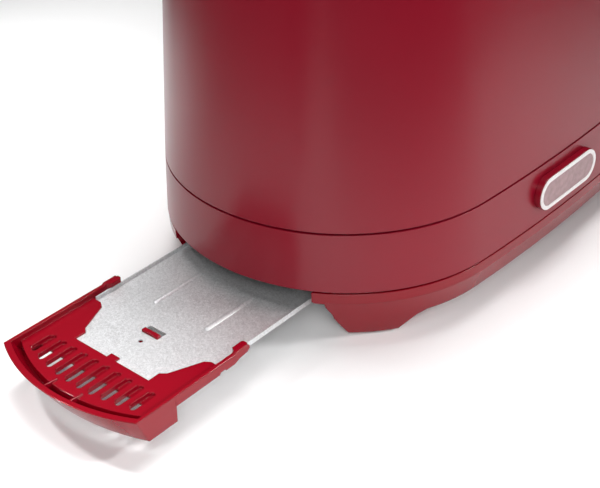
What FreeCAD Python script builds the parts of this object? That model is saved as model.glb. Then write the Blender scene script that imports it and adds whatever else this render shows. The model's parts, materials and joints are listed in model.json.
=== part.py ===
"""Pop up toaster with two bread slots, a lift carriage and a pull-out crumb tray.

Frame: +Z up, the table at Z = 0. The crumb tray comes out of the -X end, the controls
are on the +X end and the badge is on the -Y side. X is counted from the middle of the
toaster's body, and every piece is then moved by origin_shift along X, so that the
origin is the bottom centre of the whole object with its tray drawn out.
"""
import FreeCAD
import Part
import math
import os
import re

SIZES = {
    # body, from outside
    "body_length": 300.0,
    "body_width": 187.0,
    "end_radius": 98.7,
    "end_turn": 23.7,
    "shoulder_radius": 86.3,
    "origin_shift": 48.35,
    # heights above the table
    "pad_thickness": 1.2,
    "skirt_bottom": 11.2,
    "skirt_top": 28.7,
    "band_bottom": 29.8,
    "band_top": 59.3,
    "shell_bottom": 60.4,
    "body_top": 200.0,
    # lean of the walls, and their thickness
    "band_lean": 0.055,
    "shell_lean": 0.075,
    "shell_wall": 1.2,
    "band_wall": 1.8,
    "skirt_wall": 2.4,
    "top_rounding": 16.0,
    "sheet_steel": 0.8,
    # bread slots and the chamber under them
    "slot_y": 24.5,
    "slot_length": 147.0,
    "slot_width": 30.0,
    "slot_middle": -16.5,
    "chamber_left": -96.0,
    "chamber_right": 62.0,
    "chamber_bottom": 26.0,
    "chamber_top": 194.0,
    "shield_y": 56.0,
    "card_y": 47.0,
    "rail_start": -85.0,
    "plate_level": 12.6,
    "plate_top": 13.6,
    # lift carriage
    "travel": 60.0,
    "rack_level": 108.0,
    "lever_level": 164.0,
    "rod_x": 84.0,
    "rod_y": 18.0,
    "rod_radius": 2.5,
    "running_gap": 0.06,
    # controls on the +X end
    "panel_proud": 1.5,
    "panel_half_width": 38.0,
    "panel_low": 66.0,
    "panel_high": 180.0,
    "knob_level": 82.0,
    "knob_radius": 12.5,
    "button_y": 27.0,
    "button_radius": 6.0,
    "board_x": 112.0,
    "board_thickness": 1.6,
    # crumb tray
    "tray_edge": -222.5,
    "tray_half_width": 40.1,
    "tray_floor": 19.5,
    "tray_length": 173.0,
    "lip_radius": 91.3,
    "lip_reach": 35.4,
    "lip_half_width": 43.3,
    "lip_top": 23.1,
    "lip_bottom": 8.9,
    "lip_set_back": 8.8,
    "flat_radius": 112.0,
    "rim_width": 3.0,
    "groove_width": 4.8,
    "groove_floor": 10.8,
    "tray_wall": 1.8,
    "floor_top": 20.3,
    "floor_bottom": 19.0,
    "shelf_reach": 11.5,
    "tray_slot_pitch": 7.17,
    "tray_slot_width": 2.9,
    # badge
    "badge_length": 52.3,
    "badge_height": 18.1,
    "badge_level": 44.6,
    "badge_middle": -3.2,
    "badge_face": 95.4,
}

doc = FreeCAD.newDocument("Toaster")
sheet = doc.addObject("Spreadsheet::Sheet", "Sizes")
for row, (alias, number) in enumerate(SIZES.items(), start=1):
    sheet.set("A%d" % row, alias)
    sheet.set("B%d" % row, str(number))
    sheet.setAlias("B%d" % row, alias)
doc.recompute()

finished = []
OUT_OF_X = FreeCAD.Rotation(FreeCAD.Vector(0, 1, 0), 90)
OUT_OF_Y = FreeCAD.Rotation(FreeCAD.Vector(1, 0, 0), -90)
OUT_OF_Z = FreeCAD.Rotation()


def size(alias):
    """The number in the sheet's cell of that name."""
    return float(sheet.get(alias))


def bound(text):
    """The expression, with every word turned into the sheet's cell of that name."""
    return re.sub(r"[a-z]+_[a-z_]+|travel", lambda word: "Sizes." + word.group(0), str(text))


def bind(thing, prop, text):
    thing.setExpression(prop, bound(text))


def put(thing, x, y, z, turn=OUT_OF_Z):
    """Place a thing at x, y, z, where x is counted from the body's middle."""
    thing.Placement = FreeCAD.Placement(FreeCAD.Vector(), turn)
    bind(thing, "Placement.Base.x", "origin_shift + (%s)" % x)
    bind(thing, "Placement.Base.y", y)
    bind(thing, "Placement.Base.z", z)


def finish(thing):
    """Keep this object as a node of its own, under its label."""
    finished.append(thing)
    return thing


def box(name, low, high):
    thing = doc.addObject("Part::Box", name)
    for prop, start, end in zip(("Length", "Width", "Height"), low, high):
        bind(thing, prop, "(%s) - (%s)" % (end, start))
    put(thing, *low)
    return thing


def cylinder(name, radius, length, x, y, z, turn=OUT_OF_Z):
    thing = doc.addObject("Part::Cylinder", name)
    bind(thing, "Radius", radius)
    bind(thing, "Height", length)
    put(thing, x, y, z, turn)
    return thing


def cut(name, base, *tools):
    tool = tools[0] if len(tools) == 1 else fuse(name + "_tools", *tools)
    thing = doc.addObject("Part::Cut", name)
    thing.Base = base
    thing.Tool = tool
    return thing


def fuse(name, *pieces):
    thing = doc.addObject("Part::MultiFuse", name)
    thing.Shapes = list(pieces)
    return thing


def common(name, first, second):
    thing = doc.addObject("Part::Common", name)
    thing.Base = first
    thing.Tool = second
    return thing


def group(name, pieces):
    thing = doc.addObject("Part::Compound", name)
    thing.Links = list(pieces)
    return thing


# ---------------------------------------------------------------- sketches

def plane(body, role):
    return next(item for item in body.Origin.OriginFeatures if item.Role == role)


def new_body(name):
    body = doc.addObject("PartDesign::Body", name)
    put(body, 0, 0, 0)
    return body


def sketch_on(body, name, role, offset, geometry):
    """A sketch on one of the body's origin planes, moved out along its normal by offset."""
    sketch = body.newObject("Sketcher::SketchObject", name)
    sketch.AttachmentSupport = [(plane(body, role), "")]
    sketch.MapMode = "FlatFace"
    bind(sketch, "AttachmentOffset.Base.z", offset)
    sketch.addGeometry(geometry, False)
    return sketch


def polygon(points):
    ends = [FreeCAD.Vector(a, b, 0) for a, b in points]
    return [Part.LineSegment(p, q) for p, q in zip(ends, ends[1:] + ends[:1])]


def rounded(low_a, low_b, high_a, high_b, radius):
    """A rectangle with round corners, as lines and arcs."""
    lines = [
        ((low_a + radius, low_b), (high_a - radius, low_b)),
        ((high_a, low_b + radius), (high_a, high_b - radius)),
        ((high_a - radius, high_b), (low_a + radius, high_b)),
        ((low_a, high_b - radius), (low_a, low_b + radius)),
    ]
    corners = [
        (high_a - radius, low_b + radius, -90),
        (high_a - radius, high_b - radius, 0),
        (low_a + radius, high_b - radius, 90),
        (low_a + radius, low_b + radius, 180),
    ]
    out = []
    for start, end in lines:
        if math.dist(start, end) > 1e-6:
            out.append(Part.LineSegment(FreeCAD.Vector(*start, 0), FreeCAD.Vector(*end, 0)))
    for a, b, angle in corners:
        out.append(arc(a, b, radius, angle, angle + 90))
    return out


def arc(a, b, radius, start, end):
    circle = Part.Circle(FreeCAD.Vector(a, b, 0), FreeCAD.Vector(0, 0, 1), radius)
    return Part.ArcOfCircle(circle, math.radians(start), math.radians(end))


def stadium(length, height, middle_a=0.0, middle_b=0.0):
    radius = height / 2
    return rounded(middle_a - length / 2, middle_b - radius, middle_a + length / 2,
                   middle_b + radius, radius)


def pad(body, sketch, length, name, back=False):
    feature = body.newObject("PartDesign::Pad", name)
    feature.Profile = sketch
    bind(feature, "Length", length)
    feature.Reversed = back
    body.Tip = feature
    return feature


def prism(name, role, offset, length, geometry):
    """A body that is one sketch, padded along its plane's normal from offset."""
    body = new_body(name)
    pad(body, sketch_on(body, name + "_sketch", role, offset, geometry), length, name + "_pad")
    return body


def turned(name, profile, x, y, z, turn=OUT_OF_Z):
    """A body turned about its own axis from a profile of (radius, height) points."""
    body = new_body(name)
    sketch = sketch_on(body, name + "_sketch", "XZ_Plane", 0, polygon(profile))
    feature = body.newObject("PartDesign::Revolution", name + "_turn")
    feature.Profile = sketch
    feature.ReferenceAxis = (sketch, ["V_Axis"])
    feature.Angle = 360
    body.Tip = feature
    put(body, x, y, z, turn)
    return body


# ---------------------------------------------------------------- the body's outline

def outline_plan():
    """Centres, radii and angles of the three arcs in one quarter of the plan."""
    turn = math.radians(size("end_turn"))
    end, shoulder = size("end_radius"), size("shoulder_radius")
    end_x = size("body_length") / 2 - end
    shoulder_x = end_x + (end - shoulder) * math.cos(turn)
    shoulder_y = (end - shoulder) * math.sin(turn)
    rise = size("body_width") / 2 - shoulder - shoulder_y
    side_turn = math.pi / 2 - 2 * math.atan2(rise, shoulder_x)
    side = shoulder + shoulder_x / math.cos(side_turn)
    return end_x, shoulder_x, shoulder_y, side, math.degrees(side_turn)


def outline(inset):
    """The plan outline moved inwards by inset: eight arcs with the same centres."""
    end_x, shoulder_x, shoulder_y, side, side_turn = outline_plan()
    turn = size("end_turn")
    end = size("end_radius") - inset
    shoulder = size("shoulder_radius") - inset
    side_y = size("body_width") / 2 - side
    side = side - inset
    return [
        arc(end_x, 0, end, -turn, turn),
        arc(shoulder_x, shoulder_y, shoulder, turn, side_turn),
        arc(0, side_y, side, side_turn, 180 - side_turn),
        arc(-shoulder_x, shoulder_y, shoulder, 180 - side_turn, 180 - turn),
        arc(-end_x, 0, end, 180 - turn, 180 + turn),
        arc(-shoulder_x, -shoulder_y, shoulder, 180 + turn, 180 + side_turn),
        arc(0, -side_y, side, 180 + side_turn, 360 - side_turn),
        arc(shoulder_x, -shoulder_y, shoulder, 360 - side_turn, 360 - turn),
    ]


def lean(level):
    """How far the wall stands in from the band's lower edge at this height."""
    band_rise = size("shell_bottom") - size("band_bottom")
    if level <= size("shell_bottom"):
        return (level - size("band_bottom")) * size("band_lean")
    return band_rise * size("band_lean") + (level - size("shell_bottom")) * size("shell_lean")


def end_x_at(y, inset):
    """X of the +X end's wall at this Y, for an outline moved inwards by inset."""
    end_x = outline_plan()[0]
    return end_x + math.sqrt((size("end_radius") - inset) ** 2 - y * y)


def loft(body, name, kind, levels, ruled=True):
    """A ruled loft between two outlines, each given as (height, inset)."""
    sketches = [
        sketch_on(body, "%s_%d" % (name, step), "XY_Plane", level, outline(inset))
        for step, (level, inset) in enumerate(levels)
    ]
    feature = body.newObject("PartDesign::%sLoft" % kind, name)
    feature.Profile = sketches[0]
    feature.Sections = sketches[1:]
    feature.Ruled = ruled
    body.Tip = feature
    return feature


def leaning_ring(name, low, high, out, depth):
    """A wall that follows the body's outline from low to high, out to out + depth inside it."""
    body = new_body(name)
    loft(body, name + "_out", "Additive", [(low, lean(low) + out), (high, lean(high) + out)])
    loft(body, name + "_in", "Subtractive",
         [(low, lean(low) + out + depth), (high, lean(high) + out + depth)])
    return body


def domed(name, low, high, out, rounding):
    """A solid with the body's outline, leaning walls and a rounded top edge."""
    start = math.atan(size("shell_lean"))
    middle = high - rounding
    shoulder = middle + rounding * math.sin(start)
    inset = lean(shoulder) + out + rounding * math.cos(start)
    steps = 6
    levels = []
    for step in range(steps + 1):
        angle = start + (math.pi / 2 - start) * step / steps
        levels.append((middle + rounding * math.sin(angle), inset - rounding * math.cos(angle)))
    body = new_body(name)
    loft(body, name + "_wall", "Additive", [(low, lean(low) + out), levels[0]])
    loft(body, name + "_dome", "Additive", levels, ruled=False)
    return body


# ---------------------------------------------------------------- casing

def control_openings(name):
    """Openings for the lever, the knob's shaft and the buttons."""
    tools = [box(name + "_lever", (100, -3, "lever_level - travel - 8"),
                 (170, 3, "lever_level + 8"))]
    tools.append(cylinder(name + "_shaft", 3.6, 70, 100, 0, "knob_level", OUT_OF_X))
    for number, (y, z) in enumerate(button_places()):
        tools.append(cylinder("%s_button_%d" % (name, number), "button_radius + 0.3", 70,
                              100, y, z, OUT_OF_X))
    return tools


def button_places():
    side = size("button_y")
    return [(-side, 122), (-side, 100), (side, 122), (side, 100)]


def make_shell():
    top, wall, rounding = size("body_top"), size("shell_wall"), size("top_rounding")
    outer = domed("shell_outside", size("shell_bottom"), top, 0, rounding)
    inner = domed("shell_inside", size("shell_bottom") - 5, top - wall, wall, rounding - wall)
    deck_inset = lean(top) + rounding + 6
    opening = prism("deck_opening", "XY_Plane", "body_top - 10", 20, outline(deck_inset))
    finish(cut("outer_shell", outer, inner, opening, *control_openings("shell")))
    deck = prism("deck_sheet", "XY_Plane", "body_top - 2.4", 1.6, outline(deck_inset + 0.3))
    slots = bread_slot_tools("deck_slot", 0, 170, 40)
    finish(cut("top_deck", deck, *slots))


def bread_slot_tools(name, grow, low, length):
    half_length = size("slot_length") / 2 + grow
    half_width = size("slot_width") / 2 + grow
    tools = []
    for side in (-1, 1):
        shape = rounded(size("slot_middle") - half_length, side * size("slot_y") - half_width,
                        size("slot_middle") + half_length, side * size("slot_y") + half_width, 5)
        tools.append(prism("%s_%s" % (name, "front" if side < 0 else "rear"), "XY_Plane",
                           low, length, shape))
    return tools


def make_bezels():
    collars = bread_slot_tools("bezel_collar", -0.3, "body_top - 12", 12.5)
    flanges = bread_slot_tools("bezel_flange", 3, "body_top - 0.8", 1.6)
    holes = bread_slot_tools("bezel_hole", -1.5, "body_top - 20", 40)
    for side, collar, flange, hole in zip(("front", "rear"), collars, flanges, holes):
        ring = fuse("bezel_ring_" + side, collar, flange)
        finish(cut("slot_bezel_" + side, ring, hole))


def make_band():
    band = leaning_ring("band_ring", size("band_bottom"), size("band_top"), 0, size("band_wall"))
    finish(cut("lower_band", band, cylinder("band_gland_hole", 12.2, 40, 68, 70, 44, OUT_OF_Y)))
    chassis = leaning_ring("chassis_wall", size("skirt_top"), 66, 2, 2)
    finish(cut("chassis_ring", chassis,
               cylinder("chassis_gland_hole", 12.2, 40, 68, 70, 44, OUT_OF_Y)))
    gland = turned("cord_gland", [(3.6, 84), (12, 84), (12, 92.4), (10.8, 93.6), (7, 93.6),
                                  (7, 97), (6.4, 97.6), (3.6, 97.6)], 68, 0, 44, OUT_OF_Y)
    finish(gland)


SKIRT_LEAN = 0.343
BEAD_HEIGHT = 5.4


def skirt_inset(level):
    """How far the skirt's slanted wall stands in at this height."""
    return 1.0 + (size("skirt_top") - BEAD_HEIGHT - level) * SKIRT_LEAN


def make_skirt():
    top, low, wall = size("skirt_top"), size("skirt_bottom"), size("skirt_wall")
    knee = top - BEAD_HEIGHT
    body = new_body("skirt_ring")
    loft(body, "skirt_bead", "Additive", [(knee, 0.3), (top, 0.2)])
    loft(body, "skirt_wall", "Additive", [(low, skirt_inset(low)), (knee, skirt_inset(knee))])
    loft(body, "skirt_hollow", "Subtractive",
         [(low - 1, skirt_inset(low - 1) + wall), (top + 1, skirt_inset(top + 1) + wall)])
    flange = ring_plate("skirt_flange", "plate_level - 1.4", 1.4, 7, 17)
    feet = [make_foot(number, side_x, side_y)
            for number, (side_x, side_y) in enumerate(corners())]
    whole = fuse("skirt_and_feet", body, flange, *feet)
    mouth = box("tray_mouth", (-170, -44.2, 0), (-100, 44.2, 40))
    step = prism("tray_mouth_step", "YZ_Plane", -170, 70,
                 polygon([(48.6, 22), (-48.6, 22), (-48.6, 19.5), (-50, 14.5), (-50, 0),
                          (50, 0), (50, 14.5), (48.6, 19.5)]))
    finish(cut("base_skirt", whole, mouth, step))


def ring_plate(name, low, thickness, out, inner):
    body = new_body(name)
    geometry = outline(out) + outline(inner)
    pad(body, sketch_on(body, name + "_sketch", "XY_Plane", low, geometry), thickness,
        name + "_pad")
    return body


def corners():
    return [(-1, -1), (-1, 1), (1, -1), (1, 1)]


def make_foot(number, side_x, side_y):
    """A foot is the slanted wall carried down, flared into it on the side away from the end."""
    low, high = size("pad_thickness"), size("plate_level")
    body = new_body("foot_ring_%d" % number)
    loft(body, "foot_out_%d" % number, "Additive",
         [(low, skirt_inset(low)), (high, skirt_inset(high))])
    loft(body, "foot_in_%d" % number, "Subtractive", [(low - 1, 26), (high + 1, 24)])
    angle = math.degrees(math.atan2(side_y * 0.96, side_x))
    stencil = new_body("foot_stencil_%d" % number)
    away = side_x * side_y
    points = [(-11.9, low), (11.9, low), (17, 6), (20.5, 9), (25.5, 11.2), (27, high),
              (-18.9, high), (-16.9, 8.7)]
    shape = polygon([(away * across, level) for across, level in points])
    pad(stencil, sketch_on(stencil, "foot_shape_%d" % number, "YZ_Plane", 55, shape), 80,
        "foot_cut_%d" % number)
    put(stencil, side_x * outline_plan()[0], 0, 0,
        FreeCAD.Rotation(FreeCAD.Vector(0, 0, 1), angle))
    return common("foot_%d" % number, body, stencil)


def make_base():
    blank = prism("base_blank", "XY_Plane", "plate_level", "plate_top - plate_level",
                  trimmed_plate())
    mouth = box("base_mouth", (-110, -45, 0), ("rail_start", 45, 40))
    holes = [cylinder("base_hole_%d" % number, 1.7, 10, x, y, 8)
             for number, (x, y) in enumerate(base_screw_places())]
    finish(cut("base_plate", blank, mouth, *holes))
    pads = []
    for number, (side_x, side_y) in enumerate(corners()):
        x = side_x * (outline_plan()[0] + 55.5)
        y = side_y * 55.5
        pads.append(turned("foot_pad_%d" % number, [(0, 0), (6, 0), (6.5, 0.4), (6.5, 1.2), (0, 1.2)],
                           x, y, 0))
    finish(group("foot_pads", pads))


def base_screw_places():
    return [(side_x * 78, side_y * 68) for side_x, side_y in corners()]


def trimmed_plate():
    """The base plate: the outline with its tray end cut off straight."""
    end_x, shoulder_x, shoulder_y, side, side_turn = outline_plan()
    inset, stop = 11.0, -104.0
    shoulder = size("shoulder_radius") - inset
    side_y = size("body_width") / 2 - side
    reach = 180 - math.degrees(math.acos((-stop - shoulder_x) / shoulder))
    stop_y = shoulder_y + shoulder * math.sin(math.radians(reach))
    turn = size("end_turn")
    return [
        arc(end_x, 0, size("end_radius") - inset, -turn, turn),
        arc(shoulder_x, shoulder_y, shoulder, turn, side_turn),
        arc(0, side_y, side - inset, side_turn, 180 - side_turn),
        arc(-shoulder_x, shoulder_y, shoulder, 180 - side_turn, reach),
        Part.LineSegment(FreeCAD.Vector(stop, stop_y, 0), FreeCAD.Vector(stop, -stop_y, 0)),
        arc(-shoulder_x, -shoulder_y, shoulder, 360 - reach, 180 + side_turn),
        arc(0, -side_y, side - inset, 180 + side_turn, 360 - side_turn),
        arc(shoulder_x, -shoulder_y, shoulder, 360 - side_turn, 360 - turn),
    ]


# ---------------------------------------------------------------- badge

def make_badge():
    level, middle = size("badge_level"), size("badge_middle")
    length, height = size("badge_length"), size("badge_height")
    block = prism("badge_block", "XZ_Plane", "badge_face - 9", 9, stadium(length, height, middle, level))
    band = new_body("band_core")
    loft(band, "band_core_loft", "Additive",
         [(size("band_bottom"), 0), (size("band_top"), lean(size("band_top")))])
    finish(cut("badge_plinth", block, band))
    finish(prism("badge_face", "XZ_Plane", "badge_face", 0.3,
                 stadium(length - 5.2, height - 5.2, middle, level)))
    finish(prism("badge_ring", "XZ_Plane", "badge_face", 0.6,
                 stadium(length - 0.9, height - 0.9, middle, level)
                 + stadium(length - 5, height - 5, middle, level)))


# ---------------------------------------------------------------- toasting chamber

def make_chamber():
    ends = {
        "chamber_end_left": ("chamber_left", "chamber_left + sheet_steel"),
        "chamber_end_right": ("chamber_right", "chamber_right + sheet_steel"),
    }
    for name, (low, high) in ends.items():
        sheet_metal = box(name + "_sheet", (low, "-shield_y", "chamber_bottom"),
                          (high, "shield_y", "chamber_top"))
        slots = [box("%s_slot_%d" % (name, side),
                     (low + " - 2", "%d * slot_y - 2.2" % side, "rack_level - travel - 4"),
                     (high + " + 2", "%d * slot_y + 2.2" % side, "rack_level + 8"))
                 for side in (-1, 1)]
        finish(cut(name, sheet_metal, *slots))
    for name, side in (("heat_shield_front", -1), ("heat_shield_rear", 1)):
        low, high = sorted((side * size("shield_y"), side * (size("shield_y") + 0.8)))
        finish(box(name, ("chamber_left", low, "plate_top"),
                   ("chamber_right + sheet_steel", high, "chamber_top")))


def make_heaters():
    cards = (("heater_card_front", "-card_y"), ("heater_card_middle", 0), ("heater_card_rear", "card_y"))
    for name, y in cards:
        finish(box(name, ("chamber_left + 3", "%s - 0.5" % y, 40),
                   ("chamber_right - 3", "%s + 0.5" % y, 182)))
    faces = [("-card_y + 0.5", 1), (-0.5, -1), (0.5, 1), ("card_y - 0.5", -1)]
    strips = []
    for face, (y, side) in enumerate(faces):
        for turn in range(10):
            z = 52 + 12.5 * turn
            low, high = (y, "%s + 0.25" % y) if side > 0 else ("%s - 0.25" % y, y)
            strips.append(box("ribbon_%d_%d" % (face, turn), ("chamber_left + 6", low, z),
                              ("chamber_right - 6", high, z + 1.6)))
    finish(group("heater_ribbons", strips))


def make_guards():
    """Four wire grids that close on the bread as the carriage goes down."""
    guards = (("bread_guard_front_outer", -42), ("bread_guard_front_inner", -7),
              ("bread_guard_rear_inner", 7), ("bread_guard_rear_outer", 42))
    for name, y in guards:
        wires = []
        for number in range(13):
            wires.append(cylinder("%s_wire_%d" % (name, number), 0.9, 140,
                                  -88 + number * 11.9, y, 38))
        for number, z in enumerate((44, 172)):
            wires.append(cylinder("%s_rail_%d" % (name, number), 0.9, "12 * 11.9 + 4",
                                  -90, y, z, OUT_OF_X))
        finish(fuse(name, *wires))


# ---------------------------------------------------------------- lift carriage

def make_carriage():
    plate = box("carriage_plate", (76, -32, "rack_level - 4"), (78, 32, "lever_level + 10"))
    window = box("carriage_window", (70, -10, "rack_level + 12"), (80, 10, "lever_level - 8"))
    bushes = []
    holes = []
    for side in (-1, 1):
        y = "%d * rod_y" % side
        bushes.append(cylinder("bush_low_%d" % side, 6.4, 12, "rod_x", y, "rack_level + 2"))
        bushes.append(cylinder("bush_high_%d" % side, 6.4, 12, "rod_x", y, "lever_level - 6"))
        holes.append(cylinder("bush_hole_%d" % side, "rod_radius + running_gap", 100, "rod_x", y,
                              "rack_level - 10"))
    tab = box("spring_tab", (78, -4, "lever_level + 7"), (96, 4, "lever_level + 9"))
    frame = cut("carriage_window_cut", plate, window)
    finish(cut("carriage_bracket", fuse("carriage_frame", frame, tab, *bushes), *holes))
    finish(box("latch_keeper", (78, -7, 112.4), (97, 7, 114.4)))
    lowest = size("lever_level") - size("travel") - 7
    reach = end_x_at(0, lean(lowest)) + size("panel_proud") + 0.8
    finish(box("lever_arm", (78, -1.5, "lever_level - 5"), (reach, 1.5, "lever_level + 5")))
    make_lever_knob(reach)
    for side, name in ((-1, "bread_rack_front"), (1, "bread_rack_rear")):
        y = "%d * slot_y" % side
        bar = box(name + "_bar", (-86, y + " - 1.2", "rack_level"), (76, y + " + 1.2", "rack_level + 5"))
        tines = [box("%s_tine_%d" % (name, number),
                     (-82 + number * 15, y + " - 10", "rack_level + 4"),
                     (-80 + number * 15, y + " + 10", "rack_level + 6.5"))
                 for number in range(10)]
        finish(fuse(name, bar, *tines))


def make_lever_knob(start):
    body = new_body("lever_knob")
    level = size("lever_level")
    shape = rounded(-15, level - 6.5, 15, level + 6.5, 4)
    feature = pad(body, sketch_on(body, "lever_knob_sketch", "YZ_Plane", start, shape), 12,
                  "lever_knob_pad")
    doc.recompute()
    front = feature.Shape.BoundBox.XMax
    edges = ["Edge%d" % number for number, edge in enumerate(feature.Shape.Edges, start=1)
             if abs(edge.BoundBox.XMin - front) < 1e-3]
    fillet = body.newObject("PartDesign::Fillet", "lever_knob_fillet")
    fillet.Base = (feature, edges)
    fillet.Radius = 2.5
    body.Tip = fillet
    finish(body)


def make_lift_frame():
    rods = [cylinder("rod_%d" % side, "rod_radius", 152, "rod_x", "%d * rod_y" % side, 34)
            for side in (-1, 1)]
    finish(group("guide_rods", rods))
    for name, low in (("frame_bracket_bottom", 32), ("frame_bracket_top", 186)):
        finish(box(name, ("chamber_right + sheet_steel", -36, low), (100, 36, low + 2)))
    coil = turned("magnet_coil", [(0, 34), (9.5, 34), (9.5, 36), (8.5, 36), (8.5, 48), (9.5, 48),
                                  (9.5, 50), (4, 50), (4, 52), (0, 52)], 90, 0, 0)
    coil.Label = "electromagnet"
    finish(coil)
    make_spring()


def make_spring():
    """The carriage's extension spring, a coil of round wire between the tab and the bracket."""
    low, high, radius, wire = size("lever_level") + 9.4, 185.8, 3.2, 0.35
    turns = 5
    helix = Part.makeHelix((high - low - 2 * wire) / turns, high - low - 2 * wire, radius)
    start = FreeCAD.Vector(radius, 0, 0)
    circle = Part.Wire(Part.makeCircle(wire, start, FreeCAD.Vector(0, 1, 0)))
    spring = doc.addObject("Part::Feature", "carriage_spring")
    spring.Shape = Part.Wire(helix.Edges).makePipeShell([circle], True, True)
    spring.Placement = FreeCAD.Placement(
        FreeCAD.Vector(size("origin_shift") + 90, 0, low + wire), FreeCAD.Rotation())
    finish(spring)


# ---------------------------------------------------------------- controls and electrics

def make_panel():
    low, high = size("panel_low"), size("panel_high")
    ring = leaning_ring("panel_ring", low - 4, high + 4, -size("panel_proud"), size("panel_proud"))
    half = size("panel_half_width")
    stencil = prism("panel_stencil", "YZ_Plane", 100, 70, rounded(-half, low, half, high, 14))
    finish(cut("control_panel", common("panel_blank", ring, stencil), *control_openings("panel")))


def make_knob():
    level = size("knob_level")
    radius = size("knob_radius")
    start = end_x_at(0, lean(level - radius - 1)) + size("panel_proud") + 0.4
    profile = [(0, 120.4), (3, 120.4), (3, start + 1.5), (radius - 2.5, start + 1.5),
               (radius - 2.5, start), (radius + 1, start), (radius + 1, start + 2),
               (radius, start + 3), (radius - 0.8, start + 9.8), (radius - 2.2, start + 11),
               (0, start + 11)]
    body = turned("knob_turned", profile, 0, 0, "knob_level", OUT_OF_X)
    mark = box("knob_mark", (start + 10.2, -0.7, "knob_level + 3"), (start + 11.6, 0.7, "knob_level + 10"))
    finish(fuse("browning_knob", body, mark))
    finish(turned("potentiometer", [(0, 113.6), (8, 113.6), (8, 119.6), (4, 119.6), (4, 120.2), (0, 120.2)],
                  0, 0, "knob_level", OUT_OF_X))


def make_buttons():
    names = ("cancel_button", "reheat_button", "defrost_button", "bagel_button")
    switches = []
    radius = size("button_radius")
    for name, (y, z) in zip(names, button_places()):
        face = end_x_at(abs(y), lean(z)) + size("panel_proud") + 3
        flange = end_x_at(abs(y) + radius + 1.2, lean(z) + size("shell_wall")) - 0.3
        profile = [(0, 120.4), (2.5, 120.4), (2.5, flange - 1.5), (radius + 1.2, flange - 1.5),
                   (radius + 1.2, flange), (radius, flange), (radius, face - 1),
                   (radius - 1, face), (0, face + 0.3)]
        finish(turned(name, profile, 0, y, z, OUT_OF_X))
        switches.append(box(name + "_switch", (113.6, y - 3, z - 3), (117.6, y + 3, z + 3)))
    finish(group("tact_switches", switches))


def make_electrics():
    board = prism("board_sheet", "YZ_Plane", "board_x", "board_thickness",
                  rounded(-42, 66, 42, 134, 2))
    notch = box("board_notch", (100, -6, 94), (130, 6, 140))
    finish(cut("circuit_board", board, notch))
    posts = [box("post_%d" % side, ("board_x - 3", "%d * 36 - 2" % side, "plate_top"),
                 ("board_x", "%d * 36 + 2" % side, 134)) for side in (-1, 1)]
    finish(group("board_posts", posts))
    finish(box("contact_switch", (80, 22, 34), (97, 34, 48)))
    finish(box("terminal_block", (94, -30, "plate_top"), (112, -8, 27)))
    finish(box("transformer", (92, 6, "plate_top"), (108, 26, 30)))


def make_screws():
    base = []
    profile = [(0, 10.6), (2.6, 10.6), (3.4, 11.4), (3.4, 12.6), (1.5, 12.6), (1.5, 19), (0, 19)]
    for number, (x, y) in enumerate(base_screw_places()):
        base.append(turned("base_screw_%d" % number, profile, x, y, 0))
    finish(group("base_screws", base))
    board = []
    for number, (y, z) in enumerate(((-36, 72), (36, 72), (-36, 128), (36, 128))):
        board.append(turned("board_screw_%d" % number, [(0, 113.6), (2.6, 113.6), (2.6, 114.6),
                                                        (1.6, 115.4), (0, 115.4)],
                            0, y, z, OUT_OF_X))
    finish(group("board_screws", board))


# ---------------------------------------------------------------- crumb tray

def tray_plan(inset, back, side_inset=None):
    """The tray front's plan, inset all round: a round front and straight sides."""
    side = size("lip_half_width") - (inset if side_inset is None else side_inset)
    return lip_plan(size("lip_radius") - inset, inset, side, back)


def flat_plan(inset, back, side_inset):
    """The same plan with a flatter front, as the lip has lower down."""
    return lip_plan(size("flat_radius"), inset, size("lip_half_width") - side_inset, back)


def lip_plan(radius, inset, side, back):
    middle = size("tray_edge") - size("lip_reach") + inset + radius
    reach = math.asin(side / radius)
    front_x = middle - radius * math.cos(reach)
    half = math.degrees(reach)
    return [
        arc(middle, 0, radius, 180 - half, 180 + half),
        Part.LineSegment(FreeCAD.Vector(front_x, -side, 0), FreeCAD.Vector(back, -side, 0)),
        Part.LineSegment(FreeCAD.Vector(back, -side, 0), FreeCAD.Vector(back, side, 0)),
        Part.LineSegment(FreeCAD.Vector(back, side, 0), FreeCAD.Vector(front_x, side, 0)),
    ]


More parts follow.
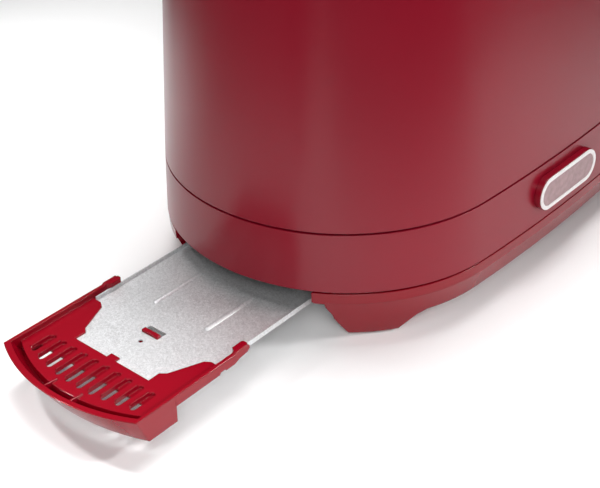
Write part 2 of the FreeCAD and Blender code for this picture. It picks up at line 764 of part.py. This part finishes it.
def make_tray_front():
    edge = size("tray_edge")
    lip_bottom, lip_top = size("lip_bottom"), size("lip_top")
    rim, wall, set_back = size("rim_width"), size("tray_wall"), size("lip_set_back")
    block = tray_loft("tray_block", lip_bottom, flat_plan(set_back, edge, 0.8),
                      lip_top, tray_plan(0, edge))
    groove_floor, groove_back = size("groove_floor"), rim + size("groove_width")
    inside = tray_loft("tray_inside",
                       groove_floor, tray_plan(rim + slant(lip_top - groove_floor), edge + 20, wall),
                       lip_top + 1, tray_plan(rim - slant(1), edge + 20, wall))
    floor = prism("tray_floor_block", "XY_Plane", 5, "floor_top - 5",
                  tray_plan(groove_back, edge + 30, 0))
    recess = cut("tray_recess", inside, floor)
    hollow = prism("tray_hollow", "XY_Plane", 0, "floor_bottom",
                   tray_plan(set_back + 1.6, edge + 20, wall + 0.8))
    side_end = box("tray_side_end", (edge - 2, -50, 0), (edge + 5, 50, 17.7))
    front = cut("tray_front_shell", block, recess, hollow, side_end, *tray_slots(edge))
    extras = [box("tray_shelf", ("tray_edge - shelf_reach", -41, 17.8), (edge, 41, "floor_bottom")),
              box("tray_tab", (edge, -2.7, "tray_floor"), (edge + 2.8, 2.7, "floor_top"))]
    for side in (-1, 1):
        extras += [tray_arm(side), tray_lug(side), tray_side_pad(side)]
    web = [(-32.6, 21.9), (-32.6, 20.9), (-26, 15.4), (-24, 15.4), (-24, 21)]
    for number, y in enumerate((-9.2, 7.2)):
        extras.append(prism("tray_web_%d" % number, "XZ_Plane", -(y + 0.3), 0.6,
                            polygon([(edge + along, level) for along, level in web])))
    finish(fuse("tray_front", front, *extras, *tray_ridges(edge)))


def slant(drop):
    """How far the slanted front of the lip stands in, this far below its top."""
    return drop * size("lip_set_back") / (size("lip_top") - size("lip_bottom"))


def tray_loft(name, low, low_plan, high, high_plan):
    body = new_body(name + "_body")
    feature = body.newObject("PartDesign::AdditiveLoft", name)
    feature.Profile = sketch_on(body, name + "_low", "XY_Plane", low, low_plan)
    feature.Sections = [sketch_on(body, name + "_high", "XY_Plane", high, high_plan)]
    feature.Ruled = True
    body.Tip = feature
    return body


def slot_places(edge):
    """Front end, back end and Y of ten slots along X. Their front ends follow the groove."""
    radius = size("flat_radius")
    middle = edge - size("lip_reach") + 12.8 + radius
    places = []
    for number in range(10):
        y = (number - 4.5) * size("tray_slot_pitch")
        places.append((middle - math.sqrt(radius * radius - y * y), edge - 4.3, y))
    return places


def tray_slots(edge):
    half = size("tray_slot_width") / 2
    return [prism("tray_slot_%d" % number, "XY_Plane", 5, 20,
                  rounded(front, y - half, back, y + half, half))
            for number, (front, back, y) in enumerate(slot_places(edge))]


def tray_ridges(edge):
    """A low ridge along one side of each slot."""
    half = size("tray_slot_width") / 2
    return [box("tray_ridge_%d" % number, (front + half, y + half, "floor_top - 0.3"),
                (back - half, y + half + 0.7, "floor_top + 0.9"))
            for number, (front, back, y) in enumerate(slot_places(edge))]


def tray_arm(side):
    """An arm along the sheet's edge. Its underside is notched and its end is rounded."""
    edge, outer, wall = size("tray_edge"), size("lip_half_width"), size("tray_wall")
    points = [(-2.5, 17.7), (-2.5, 23.1), (33.2, 23.1), (34.2, 23.8), (41.6, 23.8), (42.6, 23),
              (42.8, 21.4), (41, 20), (36, 19.4), (33, 18.1), (27.6, 18.1), (27, 18.9),
              (24.4, 18.9), (23.6, 17.9)]
    low = -outer if side < 0 else outer - wall
    return prism("tray_arm_%d" % side, "XZ_Plane", -(low + wall), wall,
                 polygon([(edge + along, level) for along, level in points]))


def tray_lug(side):
    """The arm's clip, which reaches over the sheet's upturned edge."""
    edge = size("tray_edge")
    points = [(34, 42.2), (35.8, 39.4), (41.6, 39.4), (42.4, 40.2), (42.4, 42.2)]
    return prism("tray_lug_%d" % side, "XY_Plane", 21.6, 2.2,
                 polygon([(edge + along, side * across) for along, across in points]))


def tray_side_pad(side):
    edge = size("tray_edge")
    inner_side = size("lip_half_width") - size("tray_wall")
    points = [(0, 24.0), (6.1, 24.0), (8.3, 26.8), (24.0, 33.4), (25.8, 36.1), (25.8, inner_side),
              (0, inner_side)]
    shape = polygon([(edge + along, side * across) for along, across in points])
    return prism("tray_pad_%d" % side, "XY_Plane", "tray_floor", "floor_top - tray_floor", shape)


def make_tray_sheet():
    edge, half = size("tray_edge"), size("tray_half_width")
    back, rise = edge + size("tray_length"), 21.4
    floor = box("sheet_floor", (edge, -half, "tray_floor - 0.6"), (back, half, "tray_floor"))
    upturned = [box("sheet_flange_%d" % side, (edge + 26.2, low, "tray_floor"),
                    (back, low + 0.6, rise)) for side, low in ((-1, -half), (1, half - 0.6))]
    upturned.append(box("sheet_back", (back - 0.6, -half, "tray_floor"), (back, half, rise)))
    folded = [box("sheet_riser", (edge, -38, 17.1), (edge + 0.6, 38, "tray_floor")),
              box("sheet_lap", (edge - 8.2, -38, 17.1), (edge + 0.6, 38, 17.7))]
    ribs = [sheet_rib(side) for side in (-1, 1)]
    window = box("sheet_window", (edge + 22.7, -5.3, 10), (edge + 28.4, 5.3, 30))
    hole = cylinder("sheet_hole", 1.1, 20, edge + 17.5, 0, 10)
    blank = fuse("sheet_blank", floor, *upturned, *folded, *ribs)
    finish(cut("tray_sheet", blank, window, hole))
    tongue = box("tongue_top", (edge + 22.9, -5.1, "tray_floor - 0.6"), (edge + 25.2, 5.1, 20.6))
    strap = box("tongue_strap", (edge + 0.6, -5.1, "tray_floor - 2.4"),
                (edge + 25.2, 5.1, "tray_floor - 0.6"))
    finish(cut("tray_catch", fuse("catch_blank", tongue, strap),
               cylinder("catch_hole", 1.6, 20, edge + 17.5, 0, 10)))


def sheet_rib(side):
    """A long pressed bead with round ends, seen above the sheet."""
    edge, radius, sunk = size("tray_edge"), 2.06, 1.36
    front, back, y = edge + 42.8, edge + 72, side * 16.8
    level = "tray_floor - %s" % sunk
    pieces = [cylinder("rib_bar_%d" % side, radius, back - front, front, y, level, OUT_OF_X)]
    for number, x in enumerate((front, back)):
        ball = doc.addObject("Part::Sphere", "rib_end_%d_%d" % (side, number))
        ball.Radius = radius
        put(ball, x, y, level)
        pieces.append(ball)
    above = box("rib_room_%d" % side, (front - 3, y - 3, "tray_floor - 0.3"),
                (back + 3, y + 3, "tray_floor + 3"))
    return common("sheet_rib_%d" % side, fuse("rib_blank_%d" % side, *pieces), above)


def make_rails():
    """Two folded strips on the base plate that carry the tray's sheet."""
    for side, name in ((-1, "tray_rail_front"), (1, "tray_rail_rear")):
        shape = polygon([(side * a, b) for a, b in (
            (34, 13.6), (46.5, 13.6), (46.5, 25), (45.3, 25), (45.3, 14.6), (38, 14.6), (38, 18.5), (34, 18.5))])
        finish(prism(name, "YZ_Plane", "rail_start", 150, shape))


def check_document():
    """Stop if any object failed, or if a finished shape is empty or broken."""
    for item in doc.Objects:
        state = set(getattr(item, "State", []))
        if state & {"Invalid", "Error"}:
            raise RuntimeError("%s failed: %s" % (item.Name, item.State))
    for item in finished:
        if item.Shape.isNull() or not item.Shape.isValid() or item.Shape.Volume <= 0:
            raise RuntimeError("%s has no valid shape" % item.Label)


def report(item):
    box_of = item.Shape.BoundBox
    print("%-26s solids %2d volume %10.1f  x %7.1f %7.1f  y %7.1f %7.1f  z %6.1f %6.1f" % (
        item.Label, len(item.Shape.Solids), item.Shape.Volume, box_of.XMin, box_of.XMax,
        box_of.YMin, box_of.YMax, box_of.ZMin, box_of.ZMax))


make_shell()
make_bezels()
make_band()
make_skirt()
make_base()
make_badge()
make_chamber()
make_heaters()
make_guards()
make_carriage()
make_lift_frame()
make_panel()
make_knob()
make_buttons()
make_electrics()
make_screws()
make_tray_front()
make_tray_sheet()
make_rails()
doc.recompute()
check_document()

os.makedirs("parts", exist_ok=True)
for node in finished:
    report(node)
    node.Shape.exportStep("parts/%s.step" % node.Label)
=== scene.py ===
"""A red pop up toaster on a pale studio floor, with its crumb tray drawn out."""
import json
import math

import bpy
from mathutils import Matrix, Quaternion, Vector

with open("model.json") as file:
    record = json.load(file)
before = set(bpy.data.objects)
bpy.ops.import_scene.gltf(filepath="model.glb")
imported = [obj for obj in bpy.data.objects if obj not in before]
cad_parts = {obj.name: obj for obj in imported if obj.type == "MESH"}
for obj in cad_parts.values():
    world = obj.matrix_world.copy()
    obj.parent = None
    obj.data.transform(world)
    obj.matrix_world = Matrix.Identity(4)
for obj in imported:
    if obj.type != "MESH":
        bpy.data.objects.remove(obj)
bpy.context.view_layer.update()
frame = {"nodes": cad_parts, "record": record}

MM = 0.001
NODES = frame["nodes"]


# ---------------------------------------------------------------- camera, floor and light

CAMERA_PLACE = Vector((-0.4347, -0.3507, 0.3508))
CAMERA_HEADING = math.radians(42.23)
CAMERA_DROP = math.radians(32.68)
CAMERA_ROLL = math.radians(-2.29)
CAMERA_LENS = 74.05
CAMERA_SENSOR = 36
FLOOR_REACH = 6.0
FLOOR_WHITE = (0.93, 0.93, 0.93)
WORLD_STRENGTH = 0.1
DOWN = (0, 0, -1)


def make_camera():
    """A camera at the toaster's tray end, looking down along its heading."""
    forward = Vector((math.cos(CAMERA_HEADING) * math.cos(CAMERA_DROP),
                      math.sin(CAMERA_HEADING) * math.cos(CAMERA_DROP),
                      -math.sin(CAMERA_DROP)))
    level = Vector((math.sin(CAMERA_HEADING), -math.cos(CAMERA_HEADING), 0))
    upright = level.cross(forward)
    right = level * math.cos(CAMERA_ROLL) + upright * math.sin(CAMERA_ROLL)
    up = upright * math.cos(CAMERA_ROLL) - level * math.sin(CAMERA_ROLL)
    data = bpy.data.cameras.new("camera")
    data.sensor_width = CAMERA_SENSOR
    data.lens = CAMERA_LENS
    data.clip_start = 0.01
    camera = bpy.data.objects.new("camera", data)
    turn = Matrix((right, up, -forward)).transposed().to_4x4()
    camera.matrix_world = Matrix.Translation(CAMERA_PLACE) @ turn
    bpy.context.scene.collection.objects.link(camera)
    bpy.context.scene.camera = camera


def make_floor():
    mesh = bpy.data.meshes.new("floor")
    reach = FLOOR_REACH
    corners = [(-reach, -reach, 0), (reach, -reach, 0), (reach, reach, 0), (-reach, reach, 0)]
    mesh.from_pydata(corners, [], [(0, 1, 2, 3)])
    floor = bpy.data.objects.new("floor", mesh)
    bpy.context.scene.collection.objects.link(floor)
    material = new_material("floor_white")
    shader = shader_of(material)
    shader.inputs["Base Color"].default_value = (*FLOOR_WHITE, 1)
    shader.inputs["Roughness"].default_value = 0.6
    floor.data.materials.append(material)


def area_light(name, place, direction, size, power, spread, turn=0):
    """A rectangular light that shines from place along direction, turned about it by turn degrees."""
    data = bpy.data.lights.new(name, "AREA")
    data.shape = "RECTANGLE"
    data.size, data.size_y = size
    data.energy = power
    data.spread = math.radians(spread)
    light = bpy.data.objects.new(name, data)
    light.location = place
    light.rotation_mode = "QUATERNION"
    beam = Vector(direction)
    about = Quaternion(beam, math.radians(-turn))
    light.rotation_quaternion = about @ beam.to_track_quat("-Z", "Y")
    bpy.context.scene.collection.objects.link(light)


def make_world():
    world = bpy.data.worlds.new("studio")
    bpy.context.scene.world = world
    world.use_nodes = True
    background = world.node_tree.nodes["Background"]
    background.inputs["Color"].default_value = (1, 1, 1, 1)
    background.inputs["Strength"].default_value = WORLD_STRENGTH


def make_lights():
    """Narrow softboxes, which make a pool of light round the toaster."""
    # the main pool, and two smaller ones on the floor behind the tray and along the badge's side
    area_light("softbox_top", (0.22, 0.145, 0.8), (-0.2, -0.08, -0.8),
               size=(0.75, 0.75), power=1.3, spread=40)
    area_light("softbox_back", (-0.12, 0.33, 0.8), DOWN, size=(0.3, 0.2), power=0.27, spread=30)
    area_light("softbox_right", (0.22, -0.27, 0.8), DOWN, size=(0.3, 0.2), power=0.23, spread=30)
    # three that aim at the tray, from its end, from the badge's side and from the far side
    area_light("softbox_tray", (-0.62, -0.25, 0.75), (0.4, 0.15, -0.75),
               size=(0.3, 0.3), power=0.06, spread=30)
    area_light("softbox_side", (0.45, -0.75, 0.5), (-0.66, 0.68, -0.47),
               size=(0.12, 0.1), power=0.2, spread=30)
    area_light("softbox_rim", (-0.28, 0.6, 0.8), (0.0, -0.6, -0.78),
               size=(0.1, 0.1), power=0.11, spread=22)
    # a strip for the floor beyond the tray's end, and a fill from the camera's side
    area_light("strip_left", (-0.44, -0.19, 0.6), DOWN,
               size=(0.34, 0.08), power=0.11, spread=18, turn=22)
    area_light("softbox_front", (-0.9, -0.8, 0.9), (0.9, 0.8, -0.8),
               size=(0.6, 0.6), power=0.86, spread=44)


# ---------------------------------------------------------------- materials

def new_material(name):
    material = bpy.data.materials.new(name)
    material.use_nodes = True
    return material


def shader_of(material):
    return material.node_tree.nodes["Principled BSDF"]


class Finish:
    """A procedural material: a shader, and textures in object space that feed it."""

    def __init__(self, name, color, roughness, metallic=0.0):
        self.material = new_material(name)
        self.tree = self.material.node_tree
        self.shader = shader_of(self.material)
        self.color = color
        self.shader.inputs["Base Color"].default_value = (*color, 1)
        self.shader.inputs["Roughness"].default_value = roughness
        self.shader.inputs["Metallic"].default_value = metallic
        self.coords = self.tree.nodes.new("ShaderNodeTexCoord")
        self.normal = None

    def node(self, kind, **values):
        node = self.tree.nodes.new(kind)
        for key, value in values.items():
            node.inputs[key].default_value = value
        return node

    def join(self, out, into):
        self.tree.links.new(out, into)

    def place(self, stretch=(1, 1, 1)):
        """Object coordinates, stretched along the axes."""
        mapping = self.node("ShaderNodeMapping", Scale=stretch)
        self.join(self.coords.outputs["Object"], mapping.inputs["Vector"])
        return mapping.outputs["Vector"]

    def noise(self, scale, detail=3.0, stretch=(1, 1, 1), rough=0.5):
        node = self.node("ShaderNodeTexNoise", Scale=scale, Detail=detail, Roughness=rough)
        self.join(self.place(stretch), node.inputs["Vector"])
        return node.outputs["Fac"]

    def cells(self, scale, feature="F1"):
        node = self.node("ShaderNodeTexVoronoi", Scale=scale)
        node.feature = feature
        self.join(self.place(), node.inputs["Vector"])
        return node

    def ramp(self, fac, low, high, start=0.3, end=0.7):
        """A value mapped from start..end to low..high."""
        limits = {"From Min": start, "From Max": end, "To Min": low, "To Max": high}
        node = self.node("ShaderNodeMapRange", **limits)
        self.join(fac, node.inputs["Value"])
        return node.outputs["Result"]

    def tint(self, fac, dark, light):
        """The base colour varies between dark and light as fac does."""
        node = self.tree.nodes.new("ShaderNodeMix")
        node.data_type = "RGBA"
        node.inputs["A"].default_value = (*dark, 1)
        node.inputs["B"].default_value = (*light, 1)
        self.join(fac, node.inputs["Factor"])
        self.join(node.outputs["Result"], self.shader.inputs["Base Color"])

    def vary(self, scale, detail, dark, light):
        """The base colour is multiplied by dark to light, in patches."""
        patches = self.ramp(self.noise(scale, detail), 0, 1)
        self.tint(patches, shade(self.color, dark), shade(self.color, light))

    def roughen(self, fac):
        self.join(fac, self.shader.inputs["Roughness"])

    def mottle(self, scale, detail, smooth, coarse, start=0.3, end=0.7):
        """The roughness goes from smooth to coarse, in patches."""
        self.roughen(self.ramp(self.noise(scale, detail), smooth, coarse, start, end))

    def round_edges(self, radius):
        """Light catches sharp edges as if they were rounded this much."""
        node = self.node("ShaderNodeBevel", Radius=radius)
        self.lean(node)

    def bump(self, fac, depth):
        """Relief of this depth in metres, on top of what leans the surface already."""
        node = self.node("ShaderNodeBump", Strength=1.0, Distance=depth)
        self.join(fac, node.inputs["Height"])
        if self.normal is not None:
            self.join(self.normal, node.inputs["Normal"])
        self.lean(node)

    def lean(self, node):
        """The shader takes its normal from the node."""
        self.normal = node.outputs["Normal"]
        self.join(self.normal, self.shader.inputs["Normal"])


def shade(color, factor):
    return tuple(channel * factor for channel in color)


def red_paint():
    color = (0.235, 0.001, 0.013)
    made = Finish("red_paint", color, 0.28)
    made.shader.inputs["Specular IOR Level"].default_value = 0.42
    made.vary(9, 2, 0.95, 1.05)
    made.mottle(60, 3, 0.27, 0.29, start=0, end=1)
    made.round_edges(0.0004)
    made.bump(made.noise(420, 2), 0.000003)
    return made.material


def red_plastic():
    color = (0.25, 0.0008, 0.009)
    made = Finish("red_plastic", color, 0.22)
    made.shader.inputs["Specular IOR Level"].default_value = 0.38
    made.vary(14, 3, 0.92, 1.06)
    made.mottle(120, 4, 0.16, 0.2, start=0, end=1)
    made.round_edges(0.0008)
    made.bump(made.noise(900, 3), 0.000004)
    return made.material


def badge_red():
    color = (0.23, 0.003, 0.014)
    made = Finish("badge_red", color, 0.2)
    made.round_edges(0.0007)
    made.mottle(150, 3, 0.15, 0.2, start=0, end=1)
    made.vary(40, 3, 0.9, 1.1)
    return made.material


def badge_enamel():
    color = (0.36, 0.22, 0.23)
    made = Finish("badge_enamel", color, 0.35)
    made.vary(400, 4, 0.85, 1.15)
    made.mottle(300, 3, 0.3, 0.42)
    return made.material


def badge_white():
    color = (0.85, 0.8, 0.8)
    made = Finish("badge_white", color, 0.3)
    made.tint(made.ramp(made.noise(500, 3), 0, 1), shade(color, 0.94), (0.9, 0.87, 0.87))
    return made.material


def galvanised_steel():
    """Zinc sheet: a fine frosted grain, with small crystals that differ a little in gloss."""
    color = (0.8, 0.81, 0.82)
    made = Finish("galvanised_steel", color, 0.5, 0.72)
    crystals = made.cells(1100)
    grain = made.noise(2600, 4, rough=0.7)
    mixed = made.tree.nodes.new("ShaderNodeMath")
    mixed.operation = "MULTIPLY_ADD"
    crystal_share = 0.35
    mixed.inputs[1].default_value = crystal_share
    made.join(crystals.outputs["Color"], mixed.inputs[0])
    made.join(made.ramp(grain, 0, 1 - crystal_share), mixed.inputs[2])
    made.tint(mixed.outputs["Value"], shade(color, 0.6), shade(color, 1.2))
    made.roughen(made.ramp(crystals.outputs["Color"], 0.42, 0.56, start=0, end=1))
    made.bump(grain, 0.00001)
    return made.material


def plated_wire():
    color = (0.6, 0.6, 0.58)
    made = Finish("plated_wire", color, 0.3, 1.0)
    made.vary(300, 4, 0.85, 1.1)
    made.mottle(500, 3, 0.22, 0.4)
    return made.material


def deck_steel():
    """Steel brushed along the toaster's length."""
    color = (0.62, 0.62, 0.63)
    made = Finish("deck_steel", color, 0.3, 1.0)
    brushed = made.noise(700, 3, stretch=(0.03, 1, 1))
    made.tint(made.ramp(brushed, 0, 1), shade(color, 0.88), shade(color, 1.08))
    made.roughen(made.ramp(brushed, 0.22, 0.38))
    made.bump(brushed, 0.00001)
    return made.material


def bright_chrome():
    made = Finish("bright_chrome", (0.82, 0.82, 0.84), 0.08, 1.0)
    made.mottle(80, 3, 0.05, 0.13)
    made.tint(made.ramp(made.noise(30, 2), 0, 1), (0.78, 0.78, 0.8), (0.86, 0.86, 0.88))
    return made.material


def dark_plastic(name, color, smooth, coarse, grain):
    made = Finish(name, color, smooth)
    made.mottle(200, 3, smooth, coarse)
    made.vary(90, 3, 0.8, 1.25)
    made.bump(made.noise(grain, 3), 0.00002)
    return made.material


def mica_sheet():
    color = (0.5, 0.42, 0.31)
    made = Finish("mica_sheet", color, 0.45)
    flakes = made.cells(160)
    made.tint(flakes.outputs["Distance"], shade(color, 0.75), shade(color, 1.2))
    made.bump(made.noise(350, 4), 0.00006)
    return made.material


def heater_ribbon():
    color = (0.3, 0.25, 0.22)
    made = Finish("heater_ribbon", color, 0.4, 1.0)
    made.tint(made.ramp(made.noise(200, 3), 0, 1), (0.22, 0.16, 0.14), (0.4, 0.34, 0.3))
    return made.material


def coil_copper():
    color = (0.62, 0.26, 0.12)
    made = Finish("coil_copper", color, 0.3, 1.0)
    coil_turns_and_groove_shade = made.node("ShaderNodeTexWave", Scale=700)
    coil_turns_and_groove_shade.bands_direction = "Z"
    made.join(made.place(), coil_turns_and_groove_shade.inputs["Vector"])
    # the copper colour is darker in the grooves between the coil's turns: painted shade, following
    # the same bands that give the turns their relief
    made.tint(coil_turns_and_groove_shade.outputs["Fac"], shade(color, 0.5), shade(color, 1.15))
    made.bump(coil_turns_and_groove_shade.outputs["Fac"], 0.0002)
    return made.material


def board_green():
    color = (0.02, 0.16, 0.06)
    made = Finish("board_green", color, 0.35)
    tracks = made.cells(220, "DISTANCE_TO_EDGE")
    edges = made.ramp(tracks.outputs["Distance"], 1, 0, start=0.02, end=0.09)
    made.tint(edges, color, (0.05, 0.3, 0.12))
    return made.material


def terminal_ivory():
    color = (0.72, 0.66, 0.52)
    made = Finish("terminal_ivory", color, 0.4)
    made.vary(120, 3, 0.9, 1.08)
    return made.material


def foot_rubber():
    color = (0.03, 0.03, 0.03)
    made = Finish("foot_rubber", color, 0.75)
    made.vary(300, 4, 0.7, 1.5)
    made.bump(made.noise(1200, 3), 0.00005)
    return made.material


def make_finishes():
    return {
        "red_paint": red_paint(),
        "red_plastic": red_plastic(),
        "badge_red": badge_red(),
        "badge_enamel": badge_enamel(),
        "badge_white": badge_white(),
        "galvanised_steel": galvanised_steel(),
        "plated_wire": plated_wire(),
        "deck_steel": deck_steel(),
        "bright_chrome": bright_chrome(),
        "black_plastic": dark_plastic("black_plastic", (0.018, 0.018, 0.019), 0.5, 0.65, 1500),
        "panel_black": dark_plastic("panel_black", (0.012, 0.012, 0.014), 0.12, 0.2, 3000),
        "knob_black": dark_plastic("knob_black", (0.02, 0.02, 0.022), 0.25, 0.38, 1800),
        "mica_sheet": mica_sheet(),
        "heater_ribbon": heater_ribbon(),
        "coil_copper": coil_copper(),
        "board_green": board_green(),
        "terminal_ivory": terminal_ivory(),
        "foot_rubber": foot_rubber(),
    }


# ---------------------------------------------------------------- carried-over CAD nodes

# how wide a node's sharp edges are rounded, in mm
SOFT_EDGES = {
    "base_skirt": 0.6, "tray_front": 0.4, "tray_catch": 0.2, "badge_plinth": 0.5,
    "control_panel": 0.4, "top_deck": 0.25, "slot_bezel_front": 0.5, "slot_bezel_rear": 0.5,
    "cord_gland": 0.3, "browning_knob": 0.3, "foot_pads": 0.2, "badge_ring": 0.12,
    "badge_face": 0.08,
}
WELD_GAP = 0.000001
SPLIT_ANGLE = math.radians(30)
BEVEL_ANGLE = math.radians(32)
BEVEL_SEGMENTS = 2
FACE_WEIGHT = 60


def soften(node, width):
    """Shade a CAD node's curved faces smooth, and round its sharp edges by width, if it has one."""
    piece = NODES[node]
    piece.data.shade_smooth()
    piece.modifiers.new("weld", "WELD").merge_threshold = WELD_GAP
    if not width:
        piece.modifiers.new("split", "EDGE_SPLIT").split_angle = SPLIT_ANGLE
        return
    bevel = piece.modifiers.new("edges", "BEVEL")
    bevel.width = width * MM
    bevel.segments = BEVEL_SEGMENTS
    bevel.limit_method = "ANGLE"
    bevel.angle_limit = BEVEL_ANGLE
    piece.modifiers.new("shading", "WEIGHTED_NORMAL").weight = FACE_WEIGHT


def dress_nodes(finishes):
    slots = {row["node"]: row["material_slot"] for row in frame["record"]["subparts"]}
    for name, node in NODES.items():
        node.data.materials.clear()
        node.data.materials.append(finishes[slots[name]])
        soften(name, SOFT_EDGES.get(name, 0))


make_camera()
make_floor()
make_world()
make_lights()
bpy.context.scene.view_settings.view_transform = "Standard"
dress_nodes(make_finishes())
